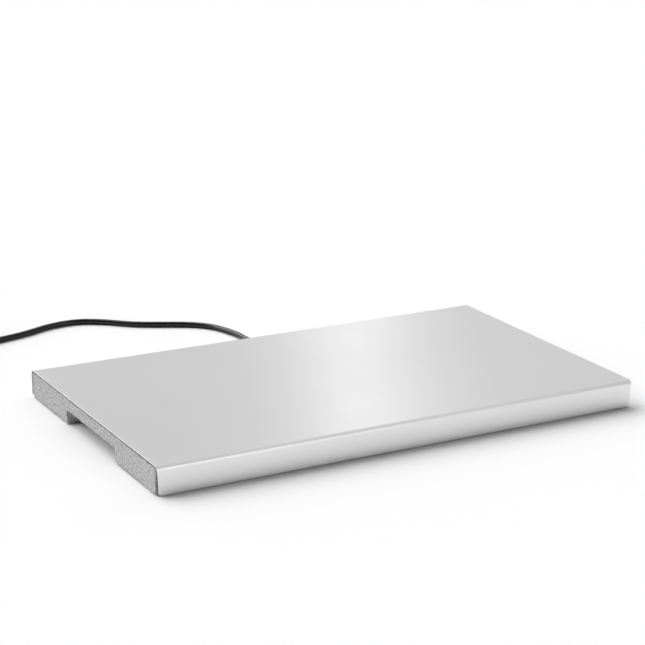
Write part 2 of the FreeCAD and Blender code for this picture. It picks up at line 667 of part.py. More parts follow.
def make_plug():
    """Earthed two-pin plug lying on the back of its rim, its cord end a little raised."""
    radius = number("plug_radius")
    length = number("plug_length")
    sleeve = 5.0
    entry = FreeCAD.Vector(*TAIL_ROUTE[-1])
    outline = [(0, 0), (0, sleeve), (14, 6.4), (22, 12.6), (30, 14.6), (length - 8, 16.6),
               (length - 6, radius), (length, radius), (length, 0)]
    spots = [FreeCAD.Vector(across, 0, along) for along, across in outline]
    face = Part.Face(Part.makePolygon(spots + [spots[0]]))
    body = face.revolve(FreeCAD.Vector(), FreeCAD.Vector(0, 0, 1), 360)
    body = body.cut(Part.makeCylinder(number("cord_diameter") / 2, 10))
    spacing = number("pin_spacing") / 2
    pins = []
    clips = []
    for side in (-1, 1):
        root = FreeCAD.Vector(side * spacing, 0, length - 6)
        pin = Part.makeCylinder(number("pin_diameter") / 2, number("pin_length") + 6, root)
        tip = [edge for edge in pin.Edges if near(edge.CenterOfMass.z, root.z + 6
                                                  + number("pin_length"))]
        pin = pin.makeFillet(1.6, tip)
        pins.append(pin)
        body = body.cut(Part.makeCylinder(number("pin_diameter") / 2, 6, root))
        low = FreeCAD.Vector(-3, radius - 1.6 if side > 0 else -radius - 0.1, length - 16)
        clip = Part.makeBox(6, 1.7, 14, low)
        body = body.cut(clip)
        clips.append(clip)
    flat = FreeCAD.Rotation(FreeCAD.Vector(0, 0, 1), TAIL_HEADING)
    lean = FreeCAD.Rotation(FreeCAD.Vector(0, 1, 0), 90 - PLUG_TILT)
    placement = FreeCAD.Placement(entry, flat.multiply(lean))
    for label, shape in (("plug_body", body), ("plug_pins", Part.makeCompound(pins)),
                         ("plug_earth_clips", Part.makeCompound(clips))):
        thing = doc.addObject("Part::Feature", label)
        thing.Shape = shape
        thing.Placement = placement
        node(label, thing)


make_cover()
make_bond()
make_front_core()
make_rear_core()
make_heater()
make_earth_stud()
make_thermostat()
make_fuse()
make_terminal_block()
make_tray()
make_cord_entry()
make_pads()
make_rear_screws()
make_wires()
make_cord()
make_plug()
doc.recompute()

for thing in doc.Objects:
    if "Invalid" in thing.State or "Error" in thing.State:
        raise RuntimeError("failed: %s %s" % (thing.Name, thing.State))
for thing in parts:
    if thing.Shape.isNull() or not thing.Shape.isValid():
        raise RuntimeError("bad shape: " + thing.Label)

os.makedirs("parts", exist_ok=True)
for thing in parts:
    thing.Shape.exportStep("parts/%s.step" % thing.Label)
    box = thing.Shape.BoundBox
    print("%-18s solids %d  X %.1f..%.1f  Y %.1f..%.1f  Z %.2f..%.2f"
          % (thing.Label, len(thing.Shape.Solids), box.XMin, box.XMax, box.YMin, box.YMax,
             box.ZMin, box.ZMax))
print("%d nodes" % len(parts))
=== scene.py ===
import math

import bmesh
import bpy
from mathutils import Matrix, Vector, noise


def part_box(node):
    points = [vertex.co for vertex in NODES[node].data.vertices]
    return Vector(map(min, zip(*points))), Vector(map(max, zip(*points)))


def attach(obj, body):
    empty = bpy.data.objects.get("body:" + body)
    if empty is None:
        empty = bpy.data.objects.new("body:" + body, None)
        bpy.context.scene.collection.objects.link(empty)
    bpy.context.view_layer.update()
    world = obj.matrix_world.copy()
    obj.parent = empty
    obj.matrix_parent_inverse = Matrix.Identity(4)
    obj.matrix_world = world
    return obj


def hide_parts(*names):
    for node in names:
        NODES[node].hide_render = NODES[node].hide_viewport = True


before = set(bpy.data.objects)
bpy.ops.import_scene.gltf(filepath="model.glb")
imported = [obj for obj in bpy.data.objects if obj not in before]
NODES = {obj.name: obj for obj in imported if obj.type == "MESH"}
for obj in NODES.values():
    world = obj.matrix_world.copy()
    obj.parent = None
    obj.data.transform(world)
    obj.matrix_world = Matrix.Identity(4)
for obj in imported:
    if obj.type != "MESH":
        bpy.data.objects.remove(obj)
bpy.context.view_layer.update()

MM = 0.001


def corners(node):
    """Lowest and highest corner of a CAD node, in metres."""
    low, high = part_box(node)
    return Vector(low), Vector(high)


PLATE_LOW, PLATE_HIGH = corners("top_cover")
TRAY_TOP = corners("service_tray")[1].z
BOOT_END = corners("strain_relief")[1].y
SCREW_HEAD = 2.9 * MM
SCREW_HEIGHT = corners("rear_screws")[0].z + SCREW_HEAD
EXIT = (0.012, 0.145, 0.0084)


def add_object(name, data):
    """A new object of the data, linked to the scene."""
    made = bpy.data.objects.new(name, data)
    bpy.context.collection.objects.link(made)
    return made


def to_mesh(bm, name):
    """Turns the editable mesh into a named one and lets it go."""
    mesh = bpy.data.meshes.new(name)
    bm.to_mesh(mesh)
    bm.free()
    return mesh



# --------------------------------------------------------------------------- camera

CAMERA_PLACE = (-0.8558, -1.4948, 0.6040)
CAMERA_TURN = (73.077, -0.757, -29.262)
LENS = 105.25
SENSOR = 36.0


def make_camera():
    """Stands front left of the plate and looks down on it, through a long lens."""
    data = bpy.data.cameras.new("camera")
    data.sensor_width = SENSOR
    data.lens = LENS
    camera = add_object("camera", data)
    camera.location = CAMERA_PLACE
    camera.rotation_euler = [math.radians(angle) for angle in CAMERA_TURN]
    bpy.context.scene.camera = camera


make_camera()

# --------------------------------------------------------------------------- cord

CORD_DIAMETER = 6 * MM
# control points in millimetres, from the exit to the coil and from the coil to the plug
CORD_ROUTE = [
    (12.0, 145.0, 8.4),
    (12.0, 168.0, 8.4),
    (12.6, 189.0, 6.0),
    (14.0, 207.0, 3.2),
    (14.6, 226.0, 3.1),
    (9.5, 247.0, 3.1),
    (1.5, 268.0, 3.1),
    (-18.0, 285.0, 3.1),
    (-45.0, 298.0, 3.1),
    (-71.0, 311.5, 3.1),
    (-95.0, 335.0, 3.1),
    (-122.0, 349.5, 3.1),
    (-155.0, 346.0, 3.1),
    (-187.0, 331.0, 3.1),
    (-222.0, 322.5, 3.2),
]
TAIL_ROUTE = [
    (-272.1, 308.9, 8.9),
    (-286.5, 305.0, 5.2),
    (-300.1, 301.3, 3.1),
    (-315.5, 297.2, 3.6),
    (-329.3, 293.5, 5.8),
    (-340.6, 290.5, 8.4),
]
# the coil in millimetres and degrees; neighbouring turns lie one pitch apart
COIL_CENTRE = (-267.9, 355.0)
COIL_START = -75.0
COIL_INNER = 25.5
COIL_PITCH = 6.0
COIL_LOW, COIL_HIGH = 3.8, 9.8
COIL_CLIMB = 0.4
COIL_TURNS = 6
TURN_POINTS = 16


def coil_points():
    """Two flat layers of turns: inwards on the lower one, outwards again on the upper one."""
    points = []
    cut_in = math.cos(math.pi / TURN_POINTS)  # the curve runs inside its control points
    for index in range(COIL_TURNS * TURN_POINTS):
        turns = (index + 0.5) / TURN_POINTS
        past_middle = turns - COIL_TURNS / 2
        radius = (COIL_INNER + COIL_PITCH * abs(past_middle)) / cut_in
        angle = math.radians(COIL_START - 360 * turns)
        climb = min(max(past_middle / COIL_CLIMB + 0.5, 0.0), 1.0)
        climb = climb * climb * (3 - 2 * climb)
        points.append((COIL_CENTRE[0] + radius * math.cos(angle),
                       COIL_CENTRE[1] + radius * math.sin(angle),
                       COIL_LOW + climb * (COIL_HIGH - COIL_LOW)))
    return points


def smooth_curve(name, points, radius):
    """A NURBS curve with the points, in millimetres, as its control points."""
    data = bpy.data.curves.new(name, "CURVE")
    data.dimensions = "3D"
    data.resolution_u = 10
    data.bevel_depth = 1.0
    data.bevel_resolution = 6
    data.use_fill_caps = True
    spline = data.splines.new("NURBS")
    spline.points.add(len(points) - 1)
    for control, point in zip(spline.points, points):
        control.co = (*(Vector(point) * MM), 1.0)
        control.radius = radius
    spline.order_u = 3
    spline.use_endpoint_u = True
    return add_object(name, data)


def make_cord():
    """The whole cord as one curve: the part in view, the coil and the tail to the plug."""
    cord = smooth_curve("mains_flex", CORD_ROUTE + coil_points() + TAIL_ROUTE, CORD_DIAMETER / 2)
    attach(cord, "root")
    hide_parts("mains_cord", "cord_coil", "cord_tail")
    return cord


cord = make_cord()

# --------------------------------------------------------------------------- materials


class Graph:
    """Short calls for the nodes that the materials and the world share."""

    def __init__(self, tree):
        self.nodes = tree.nodes
        self.links = tree.links

    def node(self, kind, **constants):
        """A new node with values set on its inputs; underscores stand for spaces."""
        made = self.nodes.new("ShaderNode" + kind)
        for socket, value in constants.items():
            made.inputs[socket.replace("_", " ")].default_value = value
        return made

    def fill(self, sockets, values):
        """Links each value that is a socket and sets each that is a constant."""
        for socket, value in zip(sockets, values):
            if isinstance(value, bpy.types.NodeSocket):
                self.links.new(value, socket)
            else:
                socket.default_value = value

    def grey(self, fac, low, high, start=0.0, end=1.0, smooth=False):
        """Maps fac from start..end onto low..high."""
        node = self.node("MapRange", From_Min=start, From_Max=end, To_Min=low, To_Max=high)
        node.interpolation_type = "SMOOTHSTEP" if smooth else "LINEAR"
        self.links.new(fac, node.inputs["Value"])
        return node.outputs["Result"]

    def maths(self, operation, first, second):
        """One arithmetic step; either value may be a socket or a number."""
        node = self.node("Math")
        node.operation = operation
        self.fill(node.inputs, (first, second))
        return node.outputs["Value"]

    def blend(self, fac, first, second):
        """First where fac is 0, second where it is 1."""
        kept = self.maths("MULTIPLY", first, self.maths("SUBTRACT", 1.0, fac))
        return self.maths("ADD", kept, self.maths("MULTIPLY", second, fac))

    def parts(self, vector):
        """The X, Y and Z components of a vector."""
        node = self.node("SeparateXYZ")
        self.links.new(vector, node.inputs["Vector"])
        return node.outputs


class Shader(Graph):
    """A Principled material whose looks come from a few procedural nodes."""

    def __init__(self, name, metallic=0.0, **constants):
        self.material = bpy.data.materials.new(name)
        self.material.use_nodes = True
        super().__init__(self.material.node_tree)
        self.surface = self.nodes["Principled BSDF"]
        self.surface.inputs["Metallic"].default_value = metallic
        for socket, value in constants.items():
            self.surface.inputs[socket.replace("_", " ")].default_value = value
        self.place = self.node("TexCoord").outputs["Object"]

    def stretched(self, scale):
        """Object coordinates scaled by axis, for grain that runs one way."""
        mapping = self.node("Mapping", Scale=scale)
        self.links.new(self.place, mapping.inputs["Vector"])
        return mapping.outputs["Vector"]

    def noise(self, scale, detail=4.0, roughness=0.5, where=None):
        """Fractal noise, by default in object coordinates."""
        node = self.node("TexNoise", Scale=scale, Detail=detail, Roughness=roughness)
        self.links.new(where or self.place, node.inputs["Vector"])
        return node.outputs["Fac"]

    def cells(self, scale):
        """Rounded cells, dark in their middles."""
        node = self.node("TexVoronoi", Scale=scale)
        self.links.new(self.place, node.inputs["Vector"])
        return node.outputs["Distance"]

    def wave(self, scale, direction):
        """Even bands across a direction."""
        node = self.node("TexWave", Scale=scale)
        node.bands_direction = direction
        self.links.new(self.place, node.inputs["Vector"])
        return node.outputs["Fac"]

    def ramp(self, fac, *stops):
        """Colour stops as (position, colour)."""
        node = self.node("ValToRGB")
        ends = node.color_ramp.elements
        while len(ends) < len(stops):
            ends.new(0.5)
        for end, (position, colour) in zip(ends, stops):
            end.position = position
            end.color = (*colour, 1.0)
        self.links.new(fac, node.inputs["Fac"])
        return node.outputs["Color"]

    def mix(self, fac, first, second):
        """First where fac is 0, second where it is 1, as colours."""
        node = self.node("Mix")
        node.data_type = "RGBA"
        node_fac, colour_a, colour_b = node.inputs[0], node.inputs[6], node.inputs[7]
        self.fill((node_fac, colour_a, colour_b), (fac, first, second))
        return node.outputs[2]

    def set(self, socket, value):
        """Feeds a socket of the surface."""
        self.links.new(value, self.surface.inputs[socket])

    def bump(self, height, distance, strength=1.0):
        """Relief of the surface, with its depth in metres."""
        node = self.node("Bump", Distance=distance, Strength=strength)
        self.links.new(height, node.inputs["Height"])
        self.links.new(node.outputs["Normal"], self.surface.inputs["Normal"])


def metal(name, colour, roughness, brush=(30, 900, 900), depth=2e-6, spread=0.05):
    """Rolled or brushed metal: fine lines along its grain and a slow drift in its gloss."""
    shader = Shader(name, metallic=1.0)
    lines = shader.noise(1.0, 3.0, 0.6, shader.stretched(brush))
    drift = shader.noise(14.0, 3.0)
    darker = tuple(0.94 * part for part in colour)
    shader.set("Base Color", shader.ramp(drift, (0.3, darker), (0.7, colour)))
    shader.set("Roughness", shader.grey(shader.mix(0.35, drift, lines), roughness - spread,
                                        roughness + spread, 0.3, 0.7))
    shader.bump(lines, depth)
    return shader.material


def plastic(name, colour, roughness, grain=2500.0, depth=1.5e-5, second=None, gloss=0.5):
    """Moulded plastic or rubber: fine grain and slightly uneven colour."""
    shader = Shader(name, Specular_IOR_Level=gloss)
    grain_height = shader.noise(grain, 2.0)
    drift = shader.noise(40.0, 4.0)
    second = second or tuple(min(1.0, 1.35 * part + 0.004) for part in colour)
    shader.set("Base Color", shader.ramp(drift, (0.35, colour), (0.7, second)))
    shader.set("Roughness", shader.grey(grain_height, roughness - 0.06, roughness + 0.08,
                                        0.3, 0.7))
    shader.bump(grain_height, depth)
    return shader.material


def stainless_material():
    """Satin sheet brushed along its length: reflections spread across the brush lines."""
    shader = Shader("satin_stainless", metallic=1.0, Anisotropic=0.76)
    lines = shader.noise(1.0, 4.0, 0.7, shader.stretched((6, 1400, 1400)))
    drift = shader.noise(6.0, 3.0)
    smudge = shader.noise(22.0, 5.0, 0.6)
    shader.set("Base Color", shader.ramp(drift, (0.3, (0.8, 0.8, 0.802)),
                                         (0.7, (0.82, 0.82, 0.822))))
    gloss = shader.mix(0.4, smudge, lines)
    shader.set("Roughness", shader.grey(gloss, 0.28, 0.33, 0.3, 0.7))
    shader.bump(lines, 1.2e-6, 0.5)
    tangent = shader.node("Tangent")
    tangent.direction_type = "UV_MAP"
    tangent.uv_map = "across_brush"
    shader.set("Tangent", tangent.outputs["Tangent"])
    return shader.material


def core_material():
    """Pressed grey granulate: pale and dark grains bound in a mid grey."""
    shader = Shader("pressed_granulate", Specular_IOR_Level=0.25)
    clumps = shader.noise(420.0, 5.0, 0.6)
    grains = shader.cells(760.0)
    specks = shader.noise(610.0, 2.0, 0.5)
    base = shader.ramp(clumps, (0.34, (0.27, 0.27, 0.27)), (0.48, (0.44, 0.44, 0.44)),
                       (0.64, (0.6, 0.6, 0.6)))
    fleck = shader.ramp(specks, (0.30, (0.0, 0.0, 0.0)), (0.36, (1.0, 1.0, 1.0)))
    shader.set("Base Color", shader.mix(fleck, (0.1, 0.1, 0.1, 1.0), base))
    shader.set("Roughness", shader.grey(grains, 0.7, 0.95))
    shader.bump(shader.maths("ADD", clumps, shader.maths("MULTIPLY", grains, 0.3)), 2e-4)
    return shader.material


def granulate_rubber():
    """Black crumb rubber: crumbs a few millimetres across, some of them greyer."""
    shader = Shader("rubber_granulate")
    crumbs = shader.cells(450.0)
    tint = shader.noise(500.0, 3.0)
    shader.set("Base Color", shader.ramp(tint, (0.35, (0.02, 0.02, 0.02)),
                                         (0.65, (0.09, 0.09, 0.09))))
    shader.set("Roughness", shader.grey(crumbs, 0.75, 0.95))
    shader.bump(crumbs, 3e-4)
    return shader.material


def silicone_heater():
    """Brick-red silicone with the weave of its glass cloth pressed through."""
    shader = Shader("heater_silicone")
    weave = shader.maths("MAXIMUM", shader.wave(300.0, "X"), shader.wave(300.0, "Y"))
    drift = shader.noise(30.0)
    shader.set("Base Color", shader.ramp(drift, (0.35, (0.36, 0.08, 0.05)),
                                         (0.7, (0.44, 0.11, 0.07))))
    shader.set("Roughness", shader.grey(weave, 0.5, 0.65))
    shader.bump(weave, 1e-4)
    return shader.material


def striped_insulation():
    """Green insulation with its yellow stripe."""
    shader = Shader("green_yellow_insulation")
    stripes = shader.wave(130.0, "DIAGONAL")
    shader.set("Base Color", shader.ramp(stripes, (0.6, (0.03, 0.3, 0.05)),
                                         (0.66, (0.75, 0.6, 0.03))))
    shader.set("Roughness", shader.grey(shader.noise(900.0), 0.3, 0.45))
    return shader.material


STAINLESS = stainless_material()
# a dark colour for the sheet's cut ends, much darker than the steel of its faces
CUT_EDGE = metal("sheared_edge", (0.2, 0.2, 0.2), 0.55, (900, 900, 60), 6e-6)
CORE = core_material()
PAD = granulate_rubber()
BOND = plastic("silicone_bond", (0.03, 0.03, 0.03), 0.55, 1500.0, 3e-5)
PLATED = metal("zinc_plated_steel", (0.62, 0.62, 0.6), 0.28, (300, 300, 300))
TRAY_STEEL = metal("galvanised_steel", (0.5, 0.52, 0.54), 0.4, (60, 400, 400), 4e-6)
ALUMINIUM = metal("mill_aluminium", (0.8, 0.8, 0.81), 0.3, (20, 700, 700))
NICKEL = metal("nickel_plate", (0.68, 0.65, 0.58), 0.18, (400, 400, 400), 1e-6)
BRASS = metal("turned_brass", (0.72, 0.5, 0.2), 0.25, (500, 500, 60))
CERAMIC = plastic("unglazed_ceramic", (0.7, 0.66, 0.58), 0.6, 1200.0, 4e-5, (0.78, 0.75, 0.68))
NYLON = plastic("natural_nylon", (0.62, 0.6, 0.52), 0.42, 1800.0, 1e-5, (0.68, 0.66, 0.58))
SHEATH = plastic("cord_sheath", (0.004, 0.004, 0.004), 0.24, 1800.0, 4e-6)
PLUG_PLASTIC = plastic("plug_plastic", (0.014, 0.014, 0.015), 0.48, 1500.0, 3e-5)
TIE = plastic("tie_rubber", (0.02, 0.02, 0.02), 0.6, 900.0, 4e-5)
BROWN = plastic("brown_insulation", (0.12, 0.04, 0.015), 0.35, 900.0)
BLUE = plastic("blue_insulation", (0.02, 0.08, 0.4), 0.35, 900.0)
GREEN_YELLOW = striped_insulation()
HEATER = silicone_heater()

NODE_MATERIALS = {
    STAINLESS: ("top_cover",),
    CORE: ("front_core", "rear_core"),
    BOND: ("bond_film",),
    HEATER: ("heating_mat",),
    ALUMINIUM: ("heat_spreader", "thermostat_flange"),
    PLATED: ("earth_stud", "earth_washer", "earth_ring", "earth_nut", "thermostat_screws",
             "thermal_fuse", "terminal_screws", "tray_screws", "clamp_screws", "rear_screws"),
    CERAMIC: ("thermostat",),
    NYLON: ("terminal_block", "cord_clamp"),
    TRAY_STEEL: ("service_tray",),
    BRASS: ("tray_spacers",),
    SHEATH: ("cord_inner_end", "strain_relief"),
    PAD: ("tray_grommet", "front_pad", "rear_pad"),
    BROWN: ("live_wire", "thermostat_wire", "fuse_wire", "live_lead"),
    BLUE: ("neutral_wire", "neutral_lead"),
    GREEN_YELLOW: ("earth_wire", "earth_lead"),
    PLUG_PLASTIC: ("plug_body",),
    NICKEL: ("plug_pins", "plug_earth_clips"),
    TIE: ("cord_tie",),
}


def dress_nodes():
    """Puts its own material on each CAD node listed in the table."""
    for material, names in NODE_MATERIALS.items():
        for name in names:
            for slot in NODES[name].material_slots:
                slot.material = material


dress_nodes()
cord.data.materials.append(SHEATH)

# --------------------------------------------------------------------------- pieces


def finish_piece(name, mesh, material, slot, *nodes, sharp=35.0):
    """Makes a piece of the mesh, rides it on the plate and lets it stand for CAD nodes."""
    mesh.shade_smooth()
    mesh.set_sharp_from_angle(angle=math.radians(sharp))
    mesh.materials.clear()
    mesh.materials.append(material)
    piece = add_object(name, mesh)
    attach(piece, "root")
    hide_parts(*nodes)
    return piece


SHEET = 1.0 * MM
BEND = 4.0 * MM         # outer radius of the folds
LIP_CORNER = 3.5 * MM
NICK = 0.13 * MM        # width of the broken edge round each cut end
TAPER = 1.7 * MM        # how far the front lip's ends draw in towards its lower edge
TAPER_TOP = 6 * MM      # height over which the first part of the taper happens
CORD_HOLE = 6 * MM
SCREW_PLACES = [place * MM for place in (-220, -75, 75, 220)]
SCREW_HOLE = 1.5 * MM
COUNTERSINK = 2.95 * MM
CUT_DEPTH = 1.5 * MM
ARC_STEPS = 10
LIP_STEPS = 4
FLAT_STEPS = 24


def cover_section():
    """Middle line of the folded sheet, front lip to rear lip, as (y, z, normal y, normal z)."""
    half = PLATE_HIGH.y
    bend = BEND - SHEET / 2
    bottom, top = PLATE_LOW.z, PLATE_HIGH.z
    side = half - SHEET / 2
    quarter = [math.pi / 2 * step / ARC_STEPS for step in range(ARC_STEPS + 1)]
    lip = [bottom + LIP_CORNER * (1 - math.cos(angle)) for angle in quarter]
    lip += [bottom + LIP_CORNER + (top - BEND - bottom - LIP_CORNER) * step / LIP_STEPS
            for step in range(1, LIP_STEPS + 1)]
    front = [(-side, z, -1.0, 0.0) for z in lip]
    arc = [(-half + BEND - bend * math.cos(angle), top - BEND + bend * math.sin(angle),
            -math.cos(angle), math.sin(angle)) for angle in quarter[1:]]
    flat = [(-half + BEND + (2 * half - 2 * BEND) * step / FLAT_STEPS, top - SHEET / 2, 0.0, 1.0)
            for step in range(1, FLAT_STEPS)]
    first = front + arc
    return first + flat + [(-y, z, -ny, nz) for y, z, ny, nz in reversed(first)]


def cover_end(y, z):
    """Half length of the sheet: the front lip tapers and the corners of both are rounded."""
    above = min(max(z - PLATE_LOW.z, 0.0), LIP_CORNER)
    corner = LIP_CORNER - math.sqrt(LIP_CORNER ** 2 - (LIP_CORNER - above) ** 2)
    drop = max(PLATE_HIGH.z - BEND / 2 - z, 0.0)
    first = min(drop / TAPER_TOP, 1.0)
    rest = drop / (PLATE_HIGH.z - PLATE_LOW.z)
    taper = TAPER * (0.45 * first + 0.55 * rest) if y < 0 else 0.0
    return PLATE_HIGH.x - corner - taper


def cover_ring(bm, section, station, at_end):
    """One loop round the sheet's thickness; the loops at the very ends are nicked thinner."""
    half = SHEET / 2 - (NICK if at_end else 0.0)
    inset = 0.0 if at_end else NICK
    ring = []
    for side, line in ((1, section), (-1, section[::-1])):
        for y, z, ny, nz in line:
            reach = cover_end(y, z) - inset
            ring.append(bm.verts.new((station * reach, y + side * ny * half,
                                      z + side * nz * half)))
    return ring


def bridge(bm, first, second):
    """Quads between two closed loops of the same count."""
    count = len(first)
    for index in range(count):
        following = (index + 1) % count
        bm.faces.new((first[index], second[index], second[following], first[following]))


def make_cover():
    """The folded sheet with its brush direction, and a dark colour on its cut ends."""
    section = cover_section()
    bm = bmesh.new()
    stations = [-1.0, -0.98, -0.9] + [step / 10 for step in range(-8, 9)] + [0.9, 0.98, 1.0]
    rings = [cover_ring(bm, section, -1.0, True)]
    rings += [cover_ring(bm, section, station, False) for station in stations]
    rings.append(cover_ring(bm, section, 1.0, True))
    for first, second in zip(rings, rings[1:]):
        bridge(bm, first, second)
    count = len(rings[0])
    half_count = count // 2
    for ring, flip in ((rings[0], False), (rings[-1], True)):
        for index in range(half_count - 1):
            quad = [ring[index], ring[index + 1], ring[count - 2 - index], ring[count - 1 - index]]
            bm.faces.new(quad[::-1] if flip else quad)
    bmesh.ops.recalc_face_normals(bm, faces=bm.faces[:])
    mesh = to_mesh(bm, "cover_sheet")
    cut_holes(mesh)
    across = mesh.uv_layers.new(name="across_brush")
    for loop in mesh.loops:
        x, y, z = mesh.vertices[loop.vertex_index].co
        across.data[loop.index].uv = (y + (PLATE_HIGH.z - z) * (1 if y > 0 else -1), x)
    cover = finish_piece("cover_sheet", mesh, STAINLESS, "stainless_sheet", "top_cover")
    mesh.materials.append(CUT_EDGE)
    for face in mesh.polygons:
        if abs(face.normal.x) > 0.9:
            face.material_index = 1
    cover.modifiers.new("even_normals", "WEIGHTED_NORMAL").keep_sharp = True


def cut_holes(mesh):
    """Cuts the cord's hole and the countersunk screw holes through the rear lip."""
    sheet = add_object("sheet_blank", mesh)
    cutters = bmesh.new()
    spots = [(EXIT[0], EXIT[2], CORD_HOLE, CORD_HOLE)]
    spots += [(x, SCREW_HEIGHT, SCREW_HOLE, COUNTERSINK) for x in SCREW_PLACES]
    for x, z, inner, outer in spots:
        place = (Matrix.Translation((x, PLATE_HIGH.y - CUT_DEPTH / 2, z))
                 @ Matrix.Rotation(math.pi / 2, 4, "X"))
        bmesh.ops.create_cone(cutters, cap_ends=True, segments=48, radius1=outer,
                              radius2=inner, depth=CUT_DEPTH + 2 * NICK, matrix=place)
    cutter = add_object("hole_cutters", to_mesh(cutters, "hole_cutters"))
    holes = sheet.modifiers.new("holes", "BOOLEAN")
    holes.operation = "DIFFERENCE"
    holes.object = cutter
    holes.solver = "EXACT"
    cut = bpy.data.meshes.new_from_object(sheet.evaluated_get(
        bpy.context.evaluated_depsgraph_get()))
    bm = bmesh.new()
    bm.from_mesh(cut)
    bm.to_mesh(mesh)
    bm.free()
    bpy.data.objects.remove(sheet)
    bpy.data.objects.remove(cutter)


SAME_POINT = 1e-7


def slice_zone(bm, in_zone, axis, low, high, step):
    """Cuts the faces of a zone along evenly spaced planes across one axis."""
    normal = [0.0, 0.0, 0.0]
    normal[axis] = 1.0
    count = int((high - low) / step)
    for index in range(1, count):
        spot = [0.0, 0.0, 0.0]
        spot[axis] = low + (high - low) * index / count
        faces = [face for face in bm.faces if in_zone(face.calc_center_median())]
        geometry = set(faces)
        for face in faces:
            geometry.update(face.edges)
            geometry.update(face.verts)
        bmesh.ops.bisect_plane(bm, geom=list(geometry), plane_co=spot, plane_no=normal,
                               dist=SAME_POINT)


def crumble(point, scale, seed):
    """Uneven height of a pressed granulate surface, roughly 0 to 1, with deeper pits."""
    spot = Vector(point) * scale + Vector((seed, 0.0, 0.0))
    rough = 0.5 + 0.5 * noise.fractal(spot, 0.6, 2.1, 4)
    pit = max(0.0, noise.noise(spot * 0.55 + Vector((0.0, 7.0, 0.0))) - 0.18) * 2.2
    return rough * 0.35 + pit


# the grain of the core's cut ends: spacing of the cuts, and how deep it wears in or away
END_ROWS = (3.0 * MM, 1.2 * MM, 0.5 * MM)
CUT_WIDTH, CUT_HEIGHT = 0.95 * MM, 0.8 * MM
GRAINS_PER_METRE = 650.0
CAP_WEAR = 0.45 * MM
UNDERSIDE_WEAR = 0.35 * MM
TOP_WEAR = 0.45 * MM, 0.6 * MM, 0.75 * MM   # least, more in the pits, most
TOP_WEAR_DEPTH = 1.3 * MM
NEAR = 0.05 * MM


def make_core(name, node, seed):
    """The CAD core with the grain of the pressed board modelled into its two cut ends."""
    low, high = corners(node)
    bm = bmesh.new()
    bm.from_mesh(NODES[node].data)
    bmesh.ops.remove_doubles(bm, verts=bm.verts[:], dist=1e-6)
    edge_zone = END_ROWS[0]
    for side in (-1, 1):
        for depth in END_ROWS:
            bmesh.ops.bisect_plane(bm, geom=bm.verts[:] + bm.edges[:] + bm.faces[:],
                                   plane_co=(side * (high.x - depth), 0, 0), plane_no=(1, 0, 0),
                                   dist=SAME_POINT)

    def at_ends(centre):
        """Whether a face lies in one of the two zones that get grain."""
        return abs(centre.x) > high.x - edge_zone * 0.99

    slice_zone(bm, at_ends, 1, low.y, high.y, CUT_WIDTH)
    slice_zone(bm, at_ends, 2, low.z, high.z, CUT_HEIGHT)
    least, in_pits, most = TOP_WEAR
    for vert in bm.verts:
        depth = high.x - abs(vert.co.x)
        if depth > edge_zone * 0.9:
            continue
        height = crumble(vert.co, GRAINS_PER_METRE, seed)
        side = 1 if vert.co.x > 0 else -1
        if depth < NEAR / 5:
            vert.co.x -= side * CAP_WEAR * height
        if abs(vert.co.z - low.z) < NEAR or (vert.co.z < TRAY_TOP + 2 * NEAR
                                             and vert.co.y > low.y + 1 * MM):
            vert.co.z += UNDERSIDE_WEAR * height * (1 - depth / edge_zone)
        if abs(vert.co.z - high.z) < NEAR and depth < TOP_WEAR_DEPTH:
            vert.co.z -= min(most, least + in_pits * height) * (1 - depth / TOP_WEAR_DEPTH)
    return finish_piece(name, to_mesh(bm, name), CORE, "pressed_core", node, sharp=60.0)


def lathe(name, outline, segments, place, swell=None):
    """A turned solid about local Z; outline is (radius, along) from end to end, closed by caps."""
    bm = bmesh.new()
    rings = []
    for radius, along in outline:
        ring = []
        for index in range(segments):
            angle = 2 * math.pi * index / segments
            size = radius * (swell(angle, along) if swell else 1.0)
            ring.append(bm.verts.new((size * math.cos(angle), size * math.sin(angle), along)))
        rings.append(ring)
    for first, second in zip(rings, rings[1:]):
        for index in range(segments):
            following = (index + 1) % segments
            bm.faces.new((first[index], first[following], second[following], second[index]))
    bm.faces.new(rings[0][::-1])
    bm.faces.new(rings[-1])
    bm.transform(place)
    return to_mesh(bm, name)


# outlines in millimetres, as (radius, along); both bores close onto the cord
GLAND_FLANGE = [(5.8, -11.9), (5.9, 0.0), (7.2, 0.02), (7.8, 0.4), (7.8, 1.3), (7.3, 1.8)]
SLEEVE_ROOT, SLEEVE_TIP = 5.6 * MM, 3.9 * MM
SLEEVE_RIBS = 6
RIB_SHAPE = ((0.0, 0.75 * MM), (0.12, 0.0), (0.55, 0.0), (0.67, 0.75 * MM))  # share, drop
BORE = 3.02
PLUG_SLEEVE = [(BORE, 0.0), (4.6, 0.0), (5.0, 0.5)]
PLUG_BODY = [
    (6.3, 14.0), (8.2, 17.0), (11.0, 20.0), (12.6, 22.0), (13.7, 25.0), (14.4, 29.0),
    (15.2, 34.0), (16.0, 40.0), (16.5, 44.0), (17.6, 45.4), (18.2, 46.2), (18.3, 47.5),
    (18.3, 51.2), (17.9, 51.8), (17.2, 52.0), (16.6, 51.4), (9.0, 51.4), (3.0, 51.4),
]
PLUG_RIBS, PLUG_RIB_START, PLUG_RIB_STEP = 4, 1.5, 2.9
PLUG_GROOVES = 16
GROOVE_DEPTH = 0.035     # share of the radius
GRIP_START, GRIP_END = 20 * MM, 44 * MM
PLUG_TURN, PLUG_TILT = 195, 78


